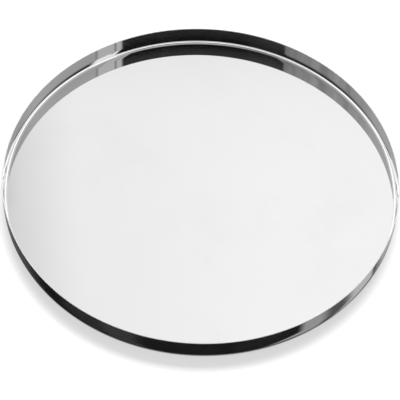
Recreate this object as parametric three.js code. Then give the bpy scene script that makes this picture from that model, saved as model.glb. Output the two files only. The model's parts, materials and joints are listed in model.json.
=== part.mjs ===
// A round dresser tray: a shallow pan pressed from one sheet of mirror-polished stainless steel,
// standing on thin clear bumper feet stuck to its underside.
//
// Units are millimetres and +Z is up. The origin is the centre of the circle that the feet stand
// on, at the height of the surface they rest on. The front of the tray faces -Y, its right +X.

import * as THREE from "three";

// ---- driving dimensions ----

const TRAY_RADIUS = 152.5; // outside of the rim wall: a tray 305 mm across
const PAN_HEIGHT = 17.1; // underside of the floor to the top of the rim
const SHEET = 0.8; // thickness of the steel, the same in floor, corner and wall
const CORNER_INSIDE = 2.1; // radius of the bend between floor and wall, on its inner side
const EASE_INSIDE = 40; // radius of the long curve that brings the wall into the bend, likewise
const EASE_LEAN = 6; // degrees that the wall leans in where the bend takes over

const FOOT_RADIUS = 5;
const FOOT_BODY = 0.9; // height of the bumper itself
const FOOT_FILM = 0.3; // adhesive film between the bumper and the steel, left as a gap
const FOOT_EDGE = 0.45; // rounding of the bumper's lower edge
const FOOT_REACH = 118; // distance of each foot from the tray's centre

const PAN_SEGMENTS = 96; // steps round the pan
const FOOT_SEGMENTS = 32; // steps round a foot
const ARC_DIVISIONS = 3; // a curved stretch of a profile gets twice this many steps

// ---- worked out from them ----

const UNDERSIDE = FOOT_BODY + FOOT_FILM; // height of the steel above the dresser
const QUARTER = Math.PI / 2;
const SAME_POINT = 1e-6; // two profile points closer than this are one

// ---- finishes ----

function polishedSteel() {
  return new THREE.MeshStandardMaterial({ color: 0xc9c9c8, roughness: 0.06, metalness: 1 });
}

function clearBumper() {
  return new THREE.MeshStandardMaterial({
    color: 0xdfe4e6,
    roughness: 0.35,
    metalness: 0,
    transparent: true,
    opacity: 0.6,
  });
}

// ---- shapes ----

// Turns a profile of (distance from the axis, height) round the vertical axis. The profile starts
// and ends on the axis and runs outwards along the underside first, so that faces point outwards.
function turned(profile, segments) {
  const points = profile
    .getPoints(ARC_DIVISIONS)
    .filter((point, i, all) => i === 0 || point.distanceTo(all[i - 1]) > SAME_POINT);
  return new THREE.LatheGeometry(points, segments).rotateX(QUARTER);
}

// The pan's section: out along the underside, round the outer bend, up the outside of the wall,
// over the rounded edge of the rim, down the inside, round the inner bend and back along the floor.
// Bend and easing curve have the same two centres on both sides of the steel, so that it keeps its
// thickness.
function panProfile() {
  const lean = THREE.MathUtils.degToRad(EASE_LEAN);
  const inside = TRAY_RADIUS - SHEET;
  const edge = SHEET / 2;
  const edgeHeight = PAN_HEIGHT - edge;
  const spread = EASE_INSIDE - CORNER_INSIDE; // distance between the two centres
  const easeReach = inside - EASE_INSIDE;
  const bendReach = easeReach + spread * Math.cos(lean);
  const bendHeight = SHEET + CORNER_INSIDE;
  const easeHeight = bendHeight + spread * Math.sin(lean);
  return new THREE.Path()
    .moveTo(0, 0)
    .lineTo(bendReach, 0)
    .absarc(bendReach, bendHeight, CORNER_INSIDE + SHEET, -QUARTER, -lean)
    .absarc(easeReach, easeHeight, EASE_INSIDE + SHEET, -lean, 0)
    .lineTo(TRAY_RADIUS, edgeHeight)
    .absarc(inside + edge, edgeHeight, edge, 0, Math.PI)
    .lineTo(inside, easeHeight)
    .absarc(easeReach, easeHeight, EASE_INSIDE, 0, -lean, true)
    .absarc(bendReach, bendHeight, CORNER_INSIDE, -lean, -QUARTER, true)
    .lineTo(0, SHEET);
}

// A bumper's section: a flat contact face, a rounded lower edge, a straight side and a flat top.
function footProfile() {
  const contact = FOOT_RADIUS - FOOT_EDGE;
  return new THREE.Path()
    .moveTo(0, 0)
    .lineTo(contact, 0)
    .absarc(contact, FOOT_EDGE, FOOT_EDGE, -QUARTER, 0)
    .lineTo(FOOT_RADIUS, FOOT_BODY)
    .lineTo(0, FOOT_BODY);
}

// ---- the parts ----

function trayPan() {
  const pan = new THREE.Mesh(turned(panProfile(), PAN_SEGMENTS), polishedSteel());
  pan.name = "tray_pan";
  pan.position.z = UNDERSIDE;
  return pan;
}

// Four bumpers on the diagonals, each named for its corner as seen from the front.
function feet() {
  const group = new THREE.Group();
  const reach = FOOT_REACH * Math.SQRT1_2;
  for (const [depth, y] of [["front", -reach], ["back", reach]]) {
    for (const [side, x] of [["left", -reach], ["right", reach]]) {
      const foot = new THREE.Mesh(turned(footProfile(), FOOT_SEGMENTS), clearBumper());
      foot.name = `foot_${depth}_${side}`;
      foot.position.set(x, y, 0);
      group.add(foot);
    }
  }
  return group;
}

const tray = new THREE.Group();
tray.add(trayPan(), feet());

export default tray;
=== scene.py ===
# %% [markdown]
# # A mirror-polished dresser tray
#
# This lesson dresses a round steel vanity tray for its portrait. The engineering model of the tray
# is already fixed: a shallow pan pressed from one sheet of stainless steel, on four thin stick-on
# feet. Here it gets the surface that a polishing wheel leaves, and a small studio to stand in.
#
# A mirror has no look of its own. What the eye reads as "polished steel" is the room bent round the
# tray's shape. So most of the lesson is about two things: a surface so clean in its curves that it
# bends the room properly, and a room worth bending.
#
# The first cell loads the fixed model. Everything after it takes its sizes from there.

# %% The fixed model
import json
import math

import bpy
import numpy as np
from mathutils import Matrix, Vector


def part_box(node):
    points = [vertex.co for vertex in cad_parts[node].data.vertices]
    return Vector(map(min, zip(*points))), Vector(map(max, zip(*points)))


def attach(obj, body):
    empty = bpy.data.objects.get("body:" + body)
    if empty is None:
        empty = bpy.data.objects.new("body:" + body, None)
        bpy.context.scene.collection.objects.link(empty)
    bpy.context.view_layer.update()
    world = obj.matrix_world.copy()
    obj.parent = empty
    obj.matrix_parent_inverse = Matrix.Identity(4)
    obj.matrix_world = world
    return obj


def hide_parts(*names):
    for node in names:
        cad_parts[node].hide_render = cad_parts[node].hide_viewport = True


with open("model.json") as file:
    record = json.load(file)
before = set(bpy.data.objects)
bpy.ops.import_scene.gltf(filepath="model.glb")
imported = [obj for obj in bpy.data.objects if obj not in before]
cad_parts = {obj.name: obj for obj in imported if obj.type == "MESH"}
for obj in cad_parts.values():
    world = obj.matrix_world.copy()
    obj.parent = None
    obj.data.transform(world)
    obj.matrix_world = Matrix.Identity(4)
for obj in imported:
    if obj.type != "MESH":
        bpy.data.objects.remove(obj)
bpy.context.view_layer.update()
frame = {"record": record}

# %% [markdown]
# ## The tray's own measures
#
# The pan is a solid of revolution, so a few numbers say all of it: how wide it is, where its
# underside, its floor and its rim lie, and how the wall turns into the floor. The first four are
# read off the fixed model. The turn is the press tool's: a tight bend, and above it a long, slight
# curve in which the sheet springs back to upright.

# %% Measures
MILLIMETRE = 0.001
CORNER_INSIDE = 2.1 * MILLIMETRE  # inner radius of the bend between floor and wall
EASE_INSIDE = 40 * MILLIMETRE  # inner radius of the long curve above it
EASE_LEAN = math.radians(6)  # how far the wall leans where one takes over from the other

pan_low, pan_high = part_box("tray_pan")
tray_radius = pan_high.x
rim_top = pan_high.z
underside = pan_low.z
floor_mount = next(m for m in frame["record"]["mounts"] if m["name"] == "tray_floor")
floor_top = floor_mount["pos_m"][2]
sheet = floor_top - underside
print(f"tray {2000 * tray_radius:.1f} mm across, sheet {1000 * sheet:.2f} mm thick")
print(f"rim {1000 * (rim_top - underside):.1f} mm above the underside")

# %% [markdown]
# ## The camera
#
# The tray is seen from well above, over its front edge, through a long lens that hardly makes the
# far side smaller than the near side. The camera leans a little to one side, so the tray's oval
# runs slightly downhill to the right. Distances are given in tray radii, because the framing has
# to follow the tray if its size ever changes.

# %% Camera
CAMERA_HEIGHT_ANGLE = math.radians(52.68)
CAMERA_DISTANCE = 8.99  # tray radii from the middle of the tray's underside
CAMERA_LEAN = math.radians(2.59)
LENS_MM = 159.1
SENSOR_MM = 36.0
AIM_POINT = (-0.0007, -0.0713)  # tray radii: just in front of the middle


def leaning_camera(eye, target, lean):
    """A camera matrix: it looks from eye to target, then leans its right side up by an angle."""
    forward = (target - eye).normalized()
    level = forward.cross(Vector((0, 0, 1))).normalized()
    upright = level.cross(forward)
    right = level * math.cos(lean) + upright * math.sin(lean)
    up = upright * math.cos(lean) - level * math.sin(lean)
    return Matrix.Translation(eye) @ Matrix((right, up, -forward)).transposed().to_4x4()


middle = Vector((0, 0, underside))
outward = Vector((0, -math.cos(CAMERA_HEIGHT_ANGLE), math.sin(CAMERA_HEIGHT_ANGLE)))
eye = middle + outward * CAMERA_DISTANCE * tray_radius
target = middle + Vector((*AIM_POINT, 0)) * tray_radius

lens = bpy.data.cameras.new("long_lens")
lens.lens = LENS_MM
lens.sensor_width = SENSOR_MM
lens.clip_start = 0.01
lens.clip_end = 100
camera = bpy.data.objects.new("camera", lens)
camera.matrix_world = leaning_camera(eye, target, CAMERA_LEAN)
bpy.context.scene.collection.objects.link(camera)
bpy.context.scene.camera = camera
print(f"camera {eye.length:.2f} m from the tray")

# %% [markdown]
# ## The pan's section
#
# Cut the pan down the middle and the cut shows one line of sheet metal: flat floor, quarter bend,
# upright wall, and an edge that the polisher has rounded over. The section could be drawn with a
# Bevel modifier on a rough outline. Here it is written as straight and round stretches instead,
# because each point can then carry its exact direction. A mirror shows an error of a tenth of a
# degree, and exact directions keep the floor flat right up to the bend.

# %% Section of straight and round stretches
QUARTER = math.pi / 2


def straight(start, end, steps, crowd=1.0):
    """Points from start to end, and the way that the metal faces there. The points sit at
    start + (end - start) * t**crowd, so a crowd below 1 packs them towards the end."""
    t = np.linspace(0, 1, steps)[:, None] ** crowd
    start, end = np.array(start), np.array(end)
    along = (end - start) / np.linalg.norm(end - start)
    facing = np.array([along[1], -along[0]])
    return start + (end - start) * t, np.tile(facing, (steps, 1))


def bend(centre, radius, first, last, steps, hollow=False):
    """Points at centre + radius * (cos a, sin a) for a from first to last, and their facing:
    away from the centre, or towards it where the metal is hollow."""
    a = np.linspace(first, last, steps)
    spoke = np.stack([np.cos(a), np.sin(a)], 1)
    return np.array(centre) + radius * spoke, -spoke if hollow else spoke


def pan_section():
    """The pan's outline from the middle of its underside to the middle of its floor, as
    (distance from the axis, height), with the facing at each point. The tight bend and the long
    curve have the same two centres on both sides of the sheet, so that it keeps its thickness."""
    edge = sheet / 2
    inside = tray_radius - sheet
    edge_height = rim_top - edge
    spread = EASE_INSIDE - CORNER_INSIDE
    ease_reach = inside - EASE_INSIDE
    bend_reach = ease_reach + spread * math.cos(EASE_LEAN)
    bend_height = floor_top + CORNER_INSIDE
    ease_height = bend_height + spread * math.sin(EASE_LEAN)
    ease, turn = (ease_reach, ease_height), (bend_reach, bend_height)
    stretches = [
        straight((0, underside), (bend_reach, underside), 26, crowd=0.7),
        bend(turn, CORNER_INSIDE + sheet, -QUARTER, -EASE_LEAN, 16),
        bend(ease, EASE_INSIDE + sheet, -EASE_LEAN, 0, 10),
        straight((tray_radius, ease_height), (tray_radius, edge_height), 8),
        bend((inside + edge, edge_height), edge, 0, math.pi, 12),
        straight((inside, edge_height), (inside, ease_height), 8),
        bend(ease, EASE_INSIDE, 0, -EASE_LEAN, 10, hollow=True),
        bend(turn, CORNER_INSIDE, -EASE_LEAN, -QUARTER, 20, hollow=True),
        straight((bend_reach, floor_top), (0, floor_top), 40, crowd=1.3),
    ]
    # Each stretch starts on the point where the one before it ended, so that point comes twice.
    points = np.concatenate([stretch[0] for stretch in stretches])
    facing = np.concatenate([stretch[1] for stretch in stretches])
    return points, facing, len(stretches[0][0])


section, section_facing, underside_rings = pan_section()
print("points along the section:", len(section))

# %% [markdown]
# ## Real sheet metal is never quite flat
#
# A pressing springs back a hair when it leaves the tool, and the wheel leans on it unevenly. The
# result is a few hundredths of a millimetre of gentle rolling, far too little to feel, yet it makes
# straight reflections wander. It could be a Displace modifier with a noise texture, but a mirror
# needs smooth slopes, so the rolling is a short sum of cosines, pushed inwards only. That way the
# pan never grows past its true size.

# %% Gentle rolling of the metal
ROLL_DEPTH = 0.012 * MILLIMETRE  # on floor and underside
WALL_ROLL_DEPTH = 0.006 * MILLIMETRE
FLOOR_WAVES = ((1, 2, 0.3), (2, 3, 1.7), (3, 1, 4.0), (2, 5, 2.6))  # rings, lobes, phase
WALL_WAVES = ((1, 7, 0.4), (0, 11, 2.2), (1, 19, 5.1), (0, 31, 3.3))


def rolling(waves, across, angle):
    """The mean of cos(pi * rings * across + phase) * cos(lobes * angle + 2 * phase) over the
    waves, moved to lie between 0 and 1. across runs from 0 to 1 over the stretch."""
    total = sum(
        np.cos(math.pi * rings * across + phase) * np.cos(lobes * angle + 2 * phase)
        for rings, lobes, phase in waves
    )
    return 0.5 + 0.5 * total / len(waves)


# %% [markdown]
# ## Turning the section into the pan
#
# The section is carried round the axis, as metal is carried round a spinning lathe. A Screw modifier
# would do it, but working out the grid gives each point its exact normal, rolling included, and
# those normals go on the mesh. The two middles close with a single point each.

# %% The pan as a grid of points
PAN_STEPS = 480  # steps round the pan


def pan_surface(steps):
    """Points and normals on a grid: (r cos u, r sin u, z) for each section point (r, z) and each
    angle u, moved inwards along the normal by the rolling w. The normal leans by the slope of w:
    N = n + dw/ds * along + dw/du / r * round, made length 1."""
    u = np.linspace(0, 2 * math.pi, steps, endpoint=False)[None, :]
    r, z = section[:, :1], section[:, 1:]
    n_r, n_z = section_facing[:, :1], section_facing[:, 1:]
    step_lengths = np.linalg.norm(np.diff(section, axis=0), axis=1)
    s = np.concatenate([[0], np.cumsum(step_lengths + 1e-9)])
    share = np.clip(r / tray_radius, 0, 1)
    height = (z - underside) / (rim_top - underside)
    upright = np.abs(n_r)
    calm_rim = np.clip(4 * (1 - height), 0, 1)
    calm_middle = np.clip(6 * share, 0, 1) ** 2
    flat_roll = ROLL_DEPTH * (1 - upright) * calm_middle * rolling(FLOOR_WAVES, share, u)
    wall_roll = WALL_ROLL_DEPTH * upright * calm_rim * rolling(WALL_WAVES, height, u)
    w = flat_roll + wall_roll
    slope_along = np.gradient(w, s, axis=0)
    slope_round = (np.roll(w, -1, 1) - np.roll(w, 1, 1)) / (4 * math.pi / steps)
    slope_round = slope_round / np.maximum(r, MILLIMETRE)
    spoke = np.stack([np.cos(u), np.sin(u)], -1)
    across = np.stack([-np.sin(u), np.cos(u)], -1)
    points = np.empty(w.shape + (3,))
    points[..., :2] = (r - w * n_r)[..., None] * spoke
    points[..., 2] = z - w * n_z
    normals = np.empty_like(points)
    normals[..., :2] = (n_r - slope_along * n_z)[..., None] * spoke + slope_round[..., None] * across
    normals[..., 2] = n_z + slope_along * n_r
    return points, normals / np.linalg.norm(normals, axis=-1, keepdims=True)


grid, grid_normals = pan_surface(PAN_STEPS)
print("pan grid, rings and steps:", grid.shape[:2])

# %% [markdown]
# The grid still needs faces. Neighbouring rings are joined by four-sided faces, and each middle is
# closed by a fan of triangles round its single point. The feet use the same pattern further on, so
# it gets its own function, and so does putting points and faces into a mesh.

# %% Faces and mesh
def close_grid(rings, steps):
    """Faces of a grid whose first and last ring have shrunk to one point: a fan, quads between
    neighbouring rings, and a fan. Points are numbered first pole, then ring by ring, last pole."""
    here = np.arange(steps)
    after = (here + 1) % steps
    ring = 1 + steps * np.arange(rings - 1)[:, None]
    quads = np.stack([ring + here, ring + after, ring + steps + after, ring + steps + here], -1)
    last = 1 + steps * (rings - 1)
    pole = last + steps
    first_fan = np.stack([np.zeros(steps, int), 1 + after, 1 + here], -1)
    last_fan = np.stack([last + here, last + after, np.full(steps, pole)], -1)
    return first_fan, quads.reshape(-1, 4), last_fan


def mesh_from(name, points, faces, normals=None):
    """A smooth mesh object of these points and faces, at the origin."""
    mesh = bpy.data.meshes.new(name)
    mesh.from_pydata(points.tolist(), [], faces)
    mesh.shade_smooth()
    if normals is not None:
        mesh.normals_split_custom_set_from_vertices(normals.tolist())
    piece = bpy.data.objects.new(name, mesh)
    bpy.context.scene.collection.objects.link(piece)
    print(f"{name}: {len(points)} points, {len(faces)} faces")
    return piece


# %% [markdown]
# Now the pan itself. The first and last ring of the grid lie on the axis and shrink to one point
# each, facing straight down and straight up.

# %% The pan's mesh
inner_grid = grid[1:-1].reshape(-1, 3)
inner_normals = grid_normals[1:-1].reshape(-1, 3)
pan_points = np.concatenate([[[0, 0, underside]], inner_grid, [[0, 0, floor_top]]])
pan_normals = np.concatenate([[[0, 0, -1]], inner_normals, [[0, 0, 1]]])
first_fan, quads, last_fan = close_grid(len(grid) - 2, PAN_STEPS)
pan_faces = first_fan.tolist() + quads.tolist() + last_fan.tolist()
pan = mesh_from("polished_pan", pan_points, pan_faces, pan_normals)

# %% [markdown]
# ## Writing finishes as formulas
#
# A finish is a small graph of nodes. Wiring them by hand hides the idea, so this cell adds just
# enough Python to write a finish as a formula. `Value` wraps an output and gives it + - and *.

# %% Value
class Value:
    """An output socket that can be used in sums. Each sign adds one Math node."""

    def __init__(self, recipe, socket):
        self.recipe = recipe
        self.socket = socket

    def __add__(self, other):
        return self.recipe.math("ADD", self, other)

    def __radd__(self, other):
        return self.recipe.math("ADD", other, self)

    def __sub__(self, other):
        return self.recipe.math("SUBTRACT", self, other)

    def __rsub__(self, other):
        return self.recipe.math("SUBTRACT", other, self)

    def __mul__(self, other):
        return self.recipe.math("MULTIPLY", self, other)

    def __rmul__(self, other):
        return self.recipe.math("MULTIPLY", other, self)


# %% [markdown]
# `Recipe` holds one graph. Its `node` makes any node from its type, its settings and what feeds
# its sockets. The other methods name the few nodes that the finishes keep asking for.

# %% Recipe
class Recipe:
    """The node graph of one finish, or of the room."""

    def __init__(self, owner):
        owner.use_nodes = True
        self.tree = owner.node_tree
        self.tree.nodes.clear()

    def node(self, kind, settings=None, inputs=None, output=0):
        """Adds one node: its settings first, then a number, a colour or a Value per socket."""
        made = self.tree.nodes.new("ShaderNode" + kind)
        for name, value in (settings or {}).items():
            setattr(made, name, value)
        for key, value in (inputs or {}).items():
            if isinstance(value, Value):
                self.tree.links.new(value.socket, made.inputs[key])
            else:
                made.inputs[key].default_value = value
        return Value(self, made.outputs[output]) if len(made.outputs) else made

    def math(self, operation, a, b):
        """One Math node on two numbers."""
        return self.node("Math", {"operation": operation}, {0: a, 1: b})

    def rise(self, value, low, high):
        """0 where value is low, 1 where it is high, smooth in between."""
        inputs = {"Value": value, "From Min": low, "From Max": high}
        return self.node("MapRange", {"interpolation_type": "SMOOTHSTEP"}, inputs)

    def blend(self, share, a, b):
        """A number: a where share is 0, b where it is 1."""
        return self.node("Mix", {"data_type": "FLOAT"}, {0: share, 2: a, 3: b})

    def blend_colour(self, share, a, b):
        """A colour: a where share is 0, b where it is 1."""
        return self.node("Mix", {"data_type": "RGBA"}, {0: share, 6: a, 7: b}, output=2)

    def place(self, stretch=(1, 1, 1), turn=(0, 0, 0)):
        """Object coordinates, stretched and turned."""
        spot = self.node("TexCoord", output="Object")
        return self.node("Mapping", inputs={"Vector": spot, "Rotation": turn, "Scale": stretch})

    def noise(self, place, scale, detail=2.0, roughness=0.5, distortion=0.0):
        """Soft random cloud between 0 and 1."""
        inputs = {"Vector": place, "Scale": scale, "Detail": detail}
        inputs.update({"Roughness": roughness, "Distortion": distortion})
        return self.node("TexNoise", inputs=inputs)


def grey(level):
    """A colour with the same level of red, green and blue, and fully opaque."""
    return (level, level, level, 1.0)


# %% [markdown]
# ## Mirror-polished steel
#
# Stainless steel gives back a little under two thirds of the light, almost without colour. The
# wheel leaves it nearly perfect. What remains, from large to small, is: faint cloudiness where a
# cloth has dried, a few hair scratches from sliding bottles, and a micro-ripple that the eye only
# notices as a slight softness. All of that changes how rough the mirror is far more than its
# colour, so the masks mostly feed Roughness, and the height of it all is a few thousandths of a
# millimetre in one Bump. A film of dust scatters two hundredths of the light. It hardly shows, but
# it keeps the darkest reflections from being quite black. It feeds Metallic, a little below 1.

# %% Mirror steel
MIRROR_GREY = 0.625
WORN_GREY = 0.57
MIRROR_ROUGHNESS = 0.025
DUST = 0.022  # share of the surface that scatters light instead of mirroring it


def hair_scratches(recipe, turn, spacing, sparse):
    """Thin lines along one direction: a noise stretched hard along the line, kept only where it
    passes a high threshold, and broken into lengths by a second, slower noise."""
    along = recipe.place(stretch=(1, 0.012, 1), turn=(0, 0, math.radians(turn)))
    lines = recipe.rise(recipe.noise(along, spacing, detail=1), sparse, sparse + 0.03)
    lengths = recipe.rise(recipe.noise(recipe.place(), 40, detail=2), 0.5, 0.62)
    return lines * lengths


def mirror_steel():
    """Metal whose roughness is the polish plus clouds, wipe marks and scratches, whose height is
    ripple less scratches, and whose film of dust takes a little of the mirror away."""
    material = bpy.data.materials.new("mirror_polished_steel")
    recipe = Recipe(material)
    cloud = recipe.rise(recipe.noise(recipe.place(), 14, detail=5, roughness=0.6), 0.45, 0.8)
    wipe = recipe.noise(recipe.place(stretch=(1, 0.15, 1), turn=(0, 0, 0.6)), 60, detail=3)
    wipe = recipe.rise(wipe, 0.5, 0.8)
    scratch = hair_scratches(recipe, 8, 900, 0.70) + hair_scratches(recipe, 67, 1100, 0.72)
    scratch = scratch + hair_scratches(recipe, 124, 800, 0.73)
    ripple = recipe.noise(recipe.place(), 180, detail=1)
    roughness = MIRROR_ROUGHNESS + 0.03 * cloud + 0.02 * wipe + 0.05 * scratch
    worn = cloud * 0.4 + scratch * 0.08
    tone = recipe.blend_colour(worn, grey(MIRROR_GREY), grey(WORN_GREY))
    metal = (1 - DUST) - 0.4 * DUST * (wipe + scratch)
    height = ripple * 0.35 - scratch * 0.12
    bump_inputs = {"Strength": 0.35, "Distance": 0.002 * MILLIMETRE, "Height": height}
    bump = recipe.node("Bump", inputs=bump_inputs)
    inputs = {"Base Color": tone, "Metallic": metal, "Roughness": roughness, "Normal": bump}
    shader = recipe.node("BsdfPrincipled", inputs=inputs)
    recipe.node("OutputMaterial", inputs={"Surface": shader})
    return material


# %% [markdown]
# ## The underside
#
# Nobody polishes the side that faces the dresser. It keeps the mill's satin finish, drawn in one
# direction by the rolls, with the odd scuff. A noise stretched along the rolling direction makes
# the grain. It feeds both roughness and a shallow bump.

# %% Satin mill finish
SATIN_GREY = 0.6
SCUFFED_GREY = 0.5


def satin_steel():
    """Metal with a long grain in its roughness and height, and scuffs that dull its tone."""
    material = bpy.data.materials.new("satin_mill_steel")
    recipe = Recipe(material)
    grain = recipe.noise(recipe.place(stretch=(0.02, 1, 1)), 1600, detail=3, roughness=0.7)
    scuff = recipe.rise(recipe.noise(recipe.place(), 30, detail=6, roughness=0.65), 0.55, 0.75)
    tone = recipe.blend_colour(grain * 0.5 + scuff * 0.3, grey(SATIN_GREY), grey(SCUFFED_GREY))
    roughness = 0.24 + 0.16 * grain + 0.08 * scuff
    bump_inputs = {"Strength": 0.4, "Distance": 0.01 * MILLIMETRE, "Height": grain}
    bump = recipe.node("Bump", inputs=bump_inputs)
    inputs = {"Base Color": tone, "Metallic": 1.0, "Roughness": roughness, "Normal": bump}
    shader = recipe.node("BsdfPrincipled", inputs=inputs)
    recipe.node("OutputMaterial", inputs={"Surface": shader})
    return material


# %% [markdown]
# ## Two finishes on one pan
#
# The pan is one piece of metal, so it stays one mesh. Its faces choose between the two finishes:
# the rings of the flat underside take the satin one, everything else the mirror.

# %% Finish the pan
pan.data.materials.append(mirror_steel())
pan.data.materials.append(satin_steel())
satin_faces = PAN_STEPS * (underside_rings - 2)
finish_of_face = np.zeros(len(pan_faces), np.int32)
finish_of_face[:satin_faces] = 1
pan.data.polygons.foreach_set("material_index", finish_of_face)
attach(pan, "root")
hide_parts("tray_pan")
print("satin faces:", satin_faces)

# %% [markdown]
# ## The feet
#
# A stick-on bumper is a small button of clear polyurethane. It is cast as a drop on its adhesive
# film, so its side leans in a little and its edge is round, and the face it stands on is flat with
# a faint rim. Each foot is two pieces, the film against the steel and the button under it, because
# they peel apart on the real one.

# %% Bumper feet
SIDE_LEAN = 0.25 * MILLIMETRE  # how far the button's side leans in towards the dresser
BUTTON_EDGE = 0.4 * MILLIMETRE
FILM_INSET = 0.1 * MILLIMETRE
FOOT_STEPS = 64


def turned_piece(name, centre, outline, steps):
    """A closed piece: each (r, z) of the outline, from the lower axis point to the upper one,
    becomes the ring (x + r cos u, y + r sin u, z)."""
    u = np.linspace(0, 2 * math.pi, steps, endpoint=False)
    r = outline[1:-1, :1]
    rings = np.empty((len(outline) - 2, steps, 3))
    rings[..., 0] = centre[0] + r * np.cos(u)
    rings[..., 1] = centre[1] + r * np.sin(u)
    rings[..., 2] = outline[1:-1, 1:]
    ends = [[centre[0], centre[1], z] for z in (outline[0, 1], outline[-1, 1])]
    points = np.concatenate([ends[:1], rings.reshape(-1, 3), ends[1:]])
    low_fan, quads, high_fan = close_grid(len(rings), steps)
    return mesh_from(name, points, low_fan.tolist() + quads.tolist() + high_fan.tolist())


def button_outline(radius, bottom, top):
    """Flat face, a faint dish inside its rim, a rounded edge, a leaning side, and a flat top."""
    dish = 0.05 * MILLIMETRE
    lip = radius - SIDE_LEAN - BUTTON_EDGE
    flat = [(0, bottom + dish), (lip * 0.5, bottom + dish), (lip * 0.8, bottom + dish * 0.4)]
    edge = bend((lip, bottom + BUTTON_EDGE), BUTTON_EDGE, -QUARTER, -0.15, 8)[0]
    shoulder = (radius - 0.02 * MILLIMETRE, top - 0.06 * MILLIMETRE)
    upper = [shoulder, (radius, top), (radius * 0.9, top), (0, top)]
    return np.concatenate([flat, edge, upper])


def film_outline(radius, bottom, top):
    """A plain disc with a slightly soft edge."""
    soft = 0.03 * MILLIMETRE
    low = [(0, bottom), (radius - soft, bottom), (radius, bottom + soft)]
    high = [(radius, top - soft), (radius - soft, top), (0, top)]
    return np.array(low + high)


# %% [markdown]
# The button is water clear but not perfectly smooth: its skin has the fine orange peel of cast
# polyurethane. The film is the same clear family with a milky cast and tiny trapped bubbles.

# %% Clear polyurethane and its film
CLEAR_IOR = 1.5
CLEAR_SHARE = 0.75  # share of the light that passes through instead of scattering


def clear_plastic(name, tone, milky, roughness_range):
    """Clear plastic with a fine peel in its height. Where the haze is full, its tone is milky and
    its roughness is at the upper end of the range."""
    material = bpy.data.materials.new(name)
    recipe = Recipe(material)
    peel = recipe.noise(recipe.place(), 2500, detail=2)
    haze = recipe.rise(recipe.noise(recipe.place(), 900, detail=4), 0.4, 0.7)
    low, high = roughness_range
    bump_inputs = {"Strength": 0.3, "Distance": 0.02 * MILLIMETRE, "Height": peel}
    inputs = {
        "Base Color": recipe.blend_colour(haze, tone, milky),
        "Roughness": low + (high - low) * haze,
        "Normal": recipe.node("Bump", inputs=bump_inputs),
        "IOR": CLEAR_IOR,
        "Transmission Weight": CLEAR_SHARE,
    }
    shader = recipe.node("BsdfPrincipled", inputs=inputs)
    recipe.node("OutputMaterial", inputs={"Surface": shader})
    return material


button_finish = clear_plastic(
    "clear_polyurethane", tone=(0.88, 0.9, 0.91, 1), milky=(0.8, 0.83, 0.85, 1), roughness_range=(0.15, 0.32)
)
film_finish = clear_plastic(
    "adhesive_film", tone=(0.78, 0.8, 0.8, 1), milky=(0.9, 0.9, 0.88, 1), roughness_range=(0.35, 0.6)
)

# %% [markdown]
# The four feet are the same button and film, each set in its own foot's box in the fixed model:
# the button fills the box, and the film fills the gap between its top and the steel.

# %% Set the feet
for corner in ("front_left", "front_right", "back_left", "back_right"):
    low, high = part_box("foot_" + corner)
    centre = (low + high) / 2
    foot_radius = (high.x - low.x) / 2
    button_shape = button_outline(foot_radius, low.z, high.z)
    button = turned_piece("bumper_" + corner, centre, button_shape, FOOT_STEPS)
    button.data.materials.append(button_finish)
    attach(button, "root")
    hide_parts("foot_" + corner)
    film_shape = film_outline(foot_radius - FILM_INSET, high.z, underside)
    film = turned_piece("film_" + corner, centre, film_shape, FOOT_STEPS)
    film.data.materials.append(film_finish)
    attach(film, "root")

# %% [markdown]
# ## The light table
#
# The tray stands on a sheet of white acrylic that glows evenly from below. A glowing table keeps
# the paper-white ground that a catalogue wants, and a soft light behind the tray still draws its
# shadow on it. Just inside the tray's edge the glow is switched off in a soft ring, which paints
# dark shade into the gap that the feet leave. The table is hidden from the metal: the room, below, decides
# what the metal sees.
# Seen from underneath the sheet lets the eye through, so the feet can be inspected.

# %% Light table
TABLE_GLOW = 0.56
TABLE_PAINT = 0.42  # how much light the sheet scatters back
TABLE_SIZE = 40 * tray_radius
PAINTED_SHADOW_EDGE = 1.3 * MILLIMETRE  # from the tray's outside in to the middle of the mask's soft edge
PAINTED_SHADOW_SOFT = 1.0 * MILLIMETRE


def light_table_finish():
    """Matt white that glows, dark under the tray's edge as painted shade, and clear seen from below."""
    material = bpy.data.materials.new("glowing_acrylic")
    recipe = Recipe(material)
    cloud = recipe.noise(recipe.place(), 3, detail=2)
    reach = recipe.node("VectorMath", {"operation": "LENGTH"}, {0: recipe.place()}, output="Value")
    # The glow stops in a soft ring just inside the tray's edge: painted shade under the rim.
    painted_shadow_radius = tray_radius - PAINTED_SHADOW_EDGE
    outside_painted_shadow = recipe.rise(reach, painted_shadow_radius - PAINTED_SHADOW_SOFT / 2, painted_shadow_radius + PAINTED_SHADOW_SOFT / 2)
    inputs = {
        "Base Color": recipe.blend_colour(cloud, grey(TABLE_PAINT), grey(TABLE_PAINT + 0.01)),
        "Roughness": 1.0,
        "Specular IOR Level": 0.0,
        "Emission Color": recipe.blend_colour(outside_painted_shadow, grey(0.0), grey(1.0)),
        "Emission Strength": TABLE_GLOW,
    }
    acrylic = recipe.node("BsdfPrincipled", inputs=inputs)
    clear = recipe.node("BsdfTransparent")
    from_below = recipe.node("NewGeometry", output="Backfacing")
    sheet_shader = recipe.node("MixShader", inputs={0: from_below, 1: acrylic, 2: clear})
    recipe.node("OutputMaterial", inputs={"Surface": sheet_shader})
    return material


half_table = TABLE_SIZE / 2
table_corners = np.array([[-1, -1, 0], [1, -1, 0], [1, 1, 0], [-1, 1, 0]]) * half_table
table = mesh_from("light_table", table_corners, [[0, 1, 2, 3]])
table.data.materials.append(light_table_finish())
table.visible_glossy = False

# %% [markdown]
# A mirror's lower edge shows what lies under it, and under a tray it is dark. The metal can't see
# the table, so a near-black ring of painted shade lies on the table in place of that gap. Only the metal
# sees it.

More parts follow.
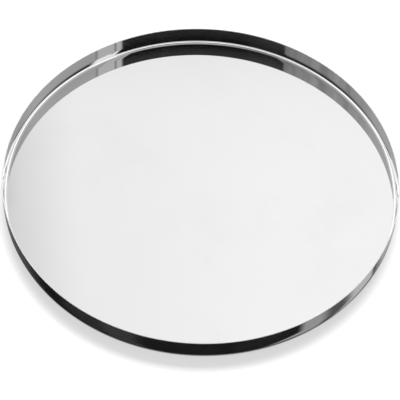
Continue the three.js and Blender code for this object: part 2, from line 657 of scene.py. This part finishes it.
# %% Painted shade under the rim
SHADE_RING_INSIDE = 0.95  # tray radii
SHADE_RING_OUTSIDE = 1.005
SHADE_RING_LIFT = 0.1 * MILLIMETRE
SHADE_RING_STEPS = 96


def painted_shade_ring():
    """A flat ring: two circles of points, and a face between each pair of neighbours."""
    u = np.linspace(0, 2 * math.pi, SHADE_RING_STEPS, endpoint=False)
    circle = np.stack([np.cos(u), np.sin(u), np.zeros_like(u)], 1) * tray_radius
    points = np.concatenate([SHADE_RING_INSIDE * circle, SHADE_RING_OUTSIDE * circle])
    points[:, 2] = SHADE_RING_LIFT
    here = np.arange(SHADE_RING_STEPS)
    after = (here + 1) % SHADE_RING_STEPS
    faces = np.stack([here, here + SHADE_RING_STEPS, after + SHADE_RING_STEPS, after], -1)
    return mesh_from("black_paper", points, faces.tolist())


def painted_shade_finish():
    """Matt black painted shade, a little lighter in a fine noise."""
    material = bpy.data.materials.new("black_paper")
    recipe = Recipe(material)
    shade_noise = recipe.noise(recipe.place(), 700, detail=3)
    tone = recipe.blend_colour(shade_noise, grey(0.01), grey(0.02))
    shader = recipe.node("BsdfDiffuse", inputs={"Color": tone})
    recipe.node("OutputMaterial", inputs={"Surface": shader})
    return material


# A near-black ring that the metal alone sees: painted shade for the dark gap under the rim.
shade_ring = painted_shade_ring()
shade_ring.data.materials.append(painted_shade_finish())
shade_ring.visible_camera = False
shade_ring.visible_diffuse = False
shade_ring.visible_transmission = False
shade_ring.visible_shadow = False

# %% [markdown]
# ## The key light
#
# One wide softbox hangs behind the tray and a little to the right, two thirds up the sky. It is the
# light that draws the soft shadow in front of the rim. Its reflection is painted with the rest of
# the room, so the lamp itself is hidden from the metal.

# %% Key light
KEY_HEIGHT_ANGLE = math.radians(59)
KEY_SIDE_ANGLE = math.radians(4)
KEY_DISTANCE = 1.5
KEY_WIDTH = 1.1
KEY_TALL = 0.65
KEY_WATTS = 40.0

key_data = bpy.data.lights.new("softbox", "AREA")
key_data.shape = "RECTANGLE"
key_data.size = KEY_WIDTH
key_data.size_y = KEY_TALL
key_data.energy = KEY_WATTS
key = bpy.data.objects.new("softbox", key_data)
key_level = KEY_DISTANCE * math.cos(KEY_HEIGHT_ANGLE)
key.location = (
    key_level * math.sin(KEY_SIDE_ANGLE),
    key_level * math.cos(KEY_SIDE_ANGLE),
    KEY_DISTANCE * math.sin(KEY_HEIGHT_ANGLE),
)
key.rotation_euler = key.location.to_track_quat("Z", "Y").to_euler()
key.visible_glossy = False
bpy.context.scene.collection.objects.link(key)
print(f"softbox {key.location.length:.2f} m from the tray")

# %% [markdown]
# ## The room that the metal sees
#
# Whoever lights mirror steel builds the reflections, not the light: big white panels where the
# metal should be bright, and a dark gap round the camera so that the rim gets a black line. The
# same is done here on the World. It starts as a plain bright room over a dark table, and each
# `room.card` paints one soft-edged panel over it. Places are in degrees: turn is measured round
# the tray from the camera's side towards the right, and height above the table's horizon.
#
# The panels were placed one by one. A ray that meets the wall at a known spot leaves in a known
# direction, which says where in the room a bright or a dark stretch of the wall has to come from.

# %% The room
class Room:
    """Brightness by direction, painted card over card."""

    def __init__(self, recipe):
        self.recipe = recipe
        direction = recipe.node("TexCoord", output="Generated")
        split = recipe.node("SeparateXYZ", inputs={0: direction}).socket.node
        x, y, z = (Value(recipe, split.outputs[axis]) for axis in "XYZ")
        to_degrees = 180 / math.pi
        self.turn = recipe.math("ARCTAN2", x, 0 - y) * to_degrees
        self.height = recipe.math("ARCSINE", z, 0) * to_degrees
        self.light = None

    def start(self, table, sky):
        """The bare room: one brightness below the horizon and one above it."""
        above = self.recipe.rise(self.height, -1, 1)
        self.light = self.recipe.blend(above, table, sky)

    def card(self, light, turn, wide, height, tall, soft=2.0, soft_tall=None, lean=0.0):
        """One panel: its brightness, the turn of its middle and its half width, the height of its
        middle and its half height. soft is the width of its fading edge, and a lean moves its
        middle sideways by that many degrees for each degree of height."""
        wrap = {"operation": "WRAP"}
        middle = turn + lean * (self.height - height)
        off = self.recipe.node("Math", wrap, {0: self.turn - middle, 1: 180.0, 2: -180.0})
        off = self.recipe.math("ABSOLUTE", off, 0)
        off_tall = self.recipe.math("ABSOLUTE", self.height - height, 0)
        soft_tall = soft if soft_tall is None else soft_tall
        inside = self.recipe.rise(off, wide + soft / 2, wide - soft / 2)
        inside = inside * self.recipe.rise(off_tall, tall + soft_tall / 2, tall - soft_tall / 2)
        self.light = self.recipe.blend(inside, self.light, light)


world = bpy.data.worlds.new("studio")
bpy.context.scene.world = world
world.cycles.sampling_method = "NONE"  # what the metal sees is found by its own mirror rays
studio = Recipe(world)
room = Room(studio)
room.start(table=0.001, sky=0.79)

# %% [markdown]
# Above the horizon is what the floor and the inside of the wall see. The wall is hollow there, so
# each side of it shows the side of the room across from it. The room's right is plain and bright.
# Its left is dimmer, with the folds of a curtain. A dark strip runs below them, all the way round
# apart from the back, and draws the hairline over the corner.

# %% Curtain, bright side and dark strip
FOLDS = 0.07  # how fast the curtain changes with each degree of turn
FOLD_SLANT = 0.02  # the same for each degree of height
CURTAIN_DARK = 0.095
CURTAIN_SPREAD = 0.85
CURTAIN_SHADE = 0.14  # how much darker it hangs on the side nearer the camera

folds = studio.node("CombineXYZ", inputs={0: room.turn * FOLDS, 1: room.height * FOLD_SLANT})
curtain = CURTAIN_DARK + CURTAIN_SPREAD * studio.noise(folds, 1.8, detail=3, roughness=0.65)
curtain = curtain - CURTAIN_SHADE * studio.rise(room.turn, -66, -48)
room.card(curtain, turn=-66, wide=40, height=60, tall=26, soft=48)
room.card(0.86, turn=111, wide=10, height=60, tall=26, soft=24)
room.card(0.71, turn=148, wide=18, height=60, tall=26, soft=16)
room.card(0.03, turn=0, wide=128, height=38, tall=7.5, soft=20, soft_tall=8)

# %% [markdown]
# Black cloth hangs round the camera, a shade lighter towards the curtain. Beside it, on the right
# of the room, stands a white reflector with two thin grey seams and a splash of light low down.

# %% Cloth and reflector
CLOTH_DARK = 0.002
CLOTH_LIFT = 0.026

room.card(1.02, turn=58, wide=10, height=52, tall=9, soft=4)
room.card(0.45, turn=67, wide=0.8, height=52, tall=9, soft=2.4)
room.card(2.0, turn=56, wide=9, height=37, tall=8.5, soft=5, soft_tall=3)
cloth = CLOTH_DARK + CLOTH_LIFT * studio.rise(room.turn, -15, -38)
room.card(cloth, turn=2.2, wide=48.2, height=46, tall=17, soft=2)
room.card(0.35, turn=54.5, wide=0.5, height=52, tall=9, soft=1.2)

# %% [markdown]
# The floor sees only what stands behind the tray: a tall white panel, a little off centre. Lower
# and wider wings beside it fill the corner at the tray's two sides, and two small grey cards take
# the glare off the wall there. Last comes the bright band of the horizon, which the corner gathers
# into its white line. In front, a dark strip trims the band's foot. The band's two ends meet
# behind the tray at half strength, which leaves a faint upright line there.

# %% Panels behind the tray, and the horizon
room.card(0.93, turn=156, wide=24, height=39, tall=10, soft=6, soft_tall=2)
room.card(1.34, turn=-154, wide=26, height=39, tall=10, soft=6, soft_tall=2)
room.card(1.03, turn=180, wide=11.5, height=56, tall=14, soft=3)
room.card(1.33, turn=176.5, wide=12, height=59.5, tall=12, soft=5, soft_tall=6)
room.card(1.42, turn=172, wide=8, height=60, tall=10.5, soft=12, soft_tall=8)
room.card(0.40, turn=-165, wide=4, height=51.5, tall=1.6, soft=3, soft_tall=1)
room.card(0.40, turn=165, wide=3, height=51.5, tall=1.6, soft=2, soft_tall=1)
room.card(2.1, turn=0, wide=180, height=16, tall=18, soft_tall=4)
room.card(0.02, turn=0, wide=62, height=3.5, tall=5.5, soft=30, soft_tall=3)

# %% [markdown]
# Below the horizon is what the outside of the wall sees: the dark table top, fading up to white
# towards the back on the left, and a row of panels with dark gaps on the right. Three of the cards
# lean, so their edges slant where the wall curves into the bend.

# %% Left and front of the lower half
room.card(0.095, turn=-140, wide=22, height=-50, tall=46, soft=38)
room.card(0.021, turn=-60, wide=26, height=-50, tall=46, soft=14)
room.card(0.040, turn=-47.5, wide=10, height=-50, tall=46, soft=8)
room.card(0.006, turn=46, wide=19.5, height=-50, tall=46, soft=8)

# %% Right and back of the lower half
room.card(0.42, turn=113, wide=45, height=-57, tall=46, soft=7, lean=1.0)
room.card(0.11, turn=94.5, wide=9, height=-56, tall=46, soft=12, lean=-1.2)
room.card(0.62, turn=117, wide=10, height=-50, tall=46, soft=7)
room.card(0.27, turn=133, wide=4, height=-50, tall=46, soft=6)
room.card(0.12, turn=130, wide=1.8, height=-54.6, tall=14, soft=2.5, lean=1.6)
room.card(0.04, turn=99, wide=5, height=-51, tall=3, soft=4)
room.card(0.58, turn=179, wide=20, height=-50, tall=46, soft=50)
room.card(0.76, turn=170, wide=4, height=-50, tall=46, soft=14)
print("nodes in the painted room:", len(studio.tree.nodes))

# %% [markdown]
# The painted room is for the metal alone. Everything else gets an even fill, and the camera looks
# past the table's edge into plain white.

# %% Who sees what
seen_by_camera = studio.node("LightPath", output="Is Camera Ray")
seen_by_metal = studio.node("LightPath", output="Is Glossy Ray")
FILL = 0.45
brightness = studio.blend(seen_by_metal, FILL, room.light)
brightness = studio.blend(seen_by_camera, brightness, 1.0)
background = studio.node("Background", inputs={"Color": grey(1.0), "Strength": brightness})
studio.node("OutputWorld", inputs={"Surface": background})

# %% [markdown]
# ## Colour handling
#
# The ground has to stay white, so light is shown as it is, without a film curve.
# Mirror paths from one reflection to the next are kept, but light focused by the metal onto the
# table is left out, because it only adds speckle.

# %% Colour and light paths
scene = bpy.context.scene
scene.view_settings.view_transform = "Standard"
scene.cycles.caustics_reflective = False
scene.cycles.caustics_refractive = False
scene.cycles.sample_clamp_indirect = 4.0

# %% [markdown]
# ## Size
#
# The dressed tray must not be larger than the engineering model.
